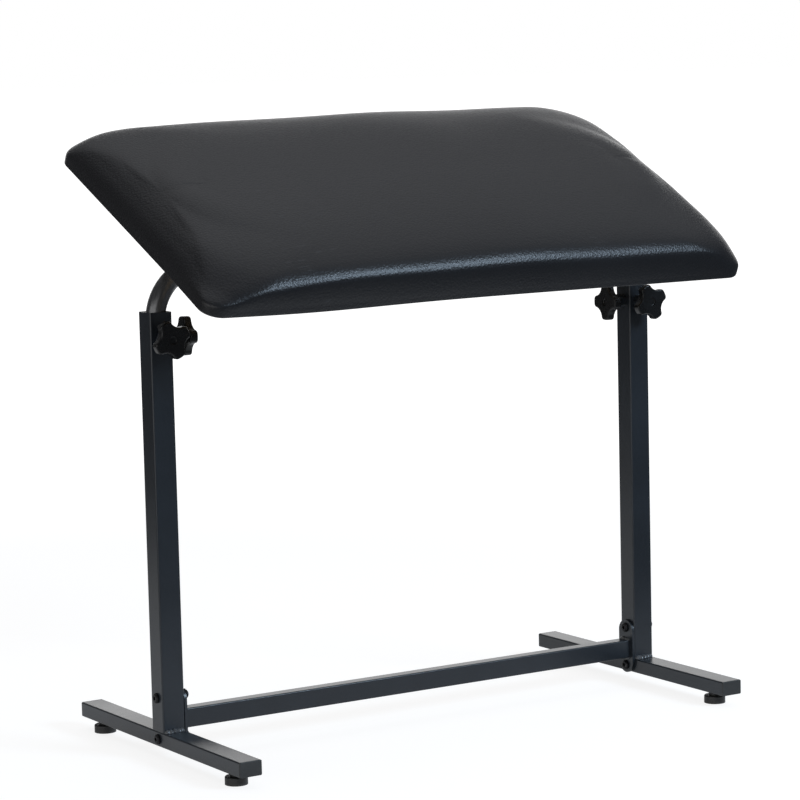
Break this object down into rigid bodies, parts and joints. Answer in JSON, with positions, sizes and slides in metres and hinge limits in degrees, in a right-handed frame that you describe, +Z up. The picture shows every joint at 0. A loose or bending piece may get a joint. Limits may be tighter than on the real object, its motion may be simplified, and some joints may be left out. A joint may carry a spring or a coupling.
{
  "type": "tattoo arm rest stand",
  "caption": "Free-standing arm rest: wide upholstered pad that tilts on a bent bar, which slides in two square posts on foot bars, clamped by lobed knobs.",
  "frame": {"origin": "on the floor, midway between the four glides", "axes": "+X along the cross bar to the right seen from the front, +Y to the rear, +Z up; the pad is tilted down towards the front"},
  "size_m": [0.6524, 0.3502, 0.6433],
  "materials": {
    "frame_paint": "satin powder coat",
    "bar_paint": "satin powder coat",
    "black_steel": "black oxide",
    "zinc_steel": "bright zinc",
    "cap_plastic": "fine texture",
    "glide_plastic": "plain",
    "knob_plastic": "soft sheen",
    "guide_plastic": "plain",
    "saddle_plastic": "fine texture",
    "plywood": "unfinished",
    "foam": "open cells",
    "vinyl": "pebbled vinyl, low sheen"
  },
  "bodies": {
    "stand": {"left_foot_bar": "frame_paint", "left_post": "frame_paint", "left_post_welds": "frame_paint", "left_end_plate": "frame_paint", "left_front_end_cap": "cap_plastic", "left_rear_end_cap": "cap_plastic", "right_foot_bar": "frame_paint", "right_post": "frame_paint", "right_post_welds": "frame_paint", "right_end_plate": "frame_paint", "right_front_end_cap": "cap_plastic", "right_rear_end_cap": "cap_plastic", "cross_bar": "frame_paint", "cross_bar_welds": "frame_paint", "frame_bolts": "black_steel", "frame_nuts": "black_steel", "clamp_nuts": "black_steel", "foot_inserts": "zinc_steel"},
    "bar": {"pad_bar": "bar_paint", "left_bar_guide": "guide_plastic", "right_bar_guide": "guide_plastic"},
    "pad": {"left_saddle": "saddle_plastic", "left_saddle_cap": "saddle_plastic", "right_saddle": "saddle_plastic", "right_saddle_cap": "saddle_plastic", "saddle_bolts": "black_steel", "board_screws": "zinc_steel", "pad_board": "plywood", "pad_foam": "foam", "pad_cover": "vinyl"},
    "left_front_foot": {"left_front_glide": "glide_plastic", "left_front_glide_stem": "zinc_steel"},
    "left_rear_foot": {"left_rear_glide": "glide_plastic", "left_rear_glide_stem": "zinc_steel"},
    "left_front_clamp": {"left_front_knob": "knob_plastic", "left_front_knob_stud": "zinc_steel"},
    "left_inner_clamp": {"left_inner_knob": "knob_plastic", "left_inner_knob_stud": "zinc_steel"},
    "right_front_foot": {"right_front_glide": "glide_plastic", "right_front_glide_stem": "zinc_steel"},
    "right_rear_foot": {"right_rear_glide": "glide_plastic", "right_rear_glide_stem": "zinc_steel"},
    "right_front_clamp": {"right_front_knob": "knob_plastic", "right_front_knob_stud": "zinc_steel"},
    "right_inner_clamp": {"right_inner_knob": "knob_plastic", "right_inner_knob_stud": "zinc_steel"}
  },
  "joints": [
    {"name": "bar_height", "type": "slide", "parent": "stand", "child": "bar", "axis": [0, 0, 1], "range_m": [0, 0.215]},
    {"name": "pad_tilt", "type": "hinge", "parent": "bar", "child": "pad", "pos_m": [0, -0.003, 0.5009], "axis": [1, 0, 0], "range_deg": [-70, 20]},
    {"name": "left_front_glide_screw", "type": "hinge", "parent": "stand", "child": "left_front_foot", "pos_m": [-0.2975, -0.1432, 0], "axis": [0, 0, 1], "range_deg": [0, 1080]},
    {"name": "left_rear_glide_screw", "type": "hinge", "parent": "stand", "child": "left_rear_foot", "pos_m": [-0.2975, 0.1432, 0], "axis": [0, 0, 1], "range_deg": [0, 1080]},
    {"name": "left_front_knob_turn", "type": "hinge", "parent": "stand", "child": "left_front_clamp", "pos_m": [-0.2975, -0.0155, 0.4307], "axis": [0, -1, 0], "range_deg": [0, 1080]},
    {"name": "left_inner_knob_turn", "type": "hinge", "parent": "stand", "child": "left_inner_clamp", "pos_m": [-0.285, -0.003, 0.4307], "axis": [1, 0, 0], "range_deg": [0, 1080]},
    {"name": "right_front_glide_screw", "type": "hinge", "parent": "stand", "child": "right_front_foot", "pos_m": [0.2975, -0.1432, 0], "axis": [0, 0, 1], "range_deg": [0, 1080]},
    {"name": "right_rear_glide_screw", "type": "hinge", "parent": "stand", "child": "right_rear_foot", "pos_m": [0.2975, 0.1432, 0], "axis": [0, 0, 1], "range_deg": [0, 1080]},
    {"name": "right_front_knob_turn", "type": "hinge", "parent": "stand", "child": "right_front_clamp", "pos_m": [0.2975, -0.0155, 0.4307], "axis": [0, -1, 0], "range_deg": [0, 1080]},
    {"name": "right_inner_knob_turn", "type": "hinge", "parent": "stand", "child": "right_inner_clamp", "pos_m": [0.285, -0.003, 0.4307], "axis": [-1, 0, 0], "range_deg": [0, 1080]}
  ]
}
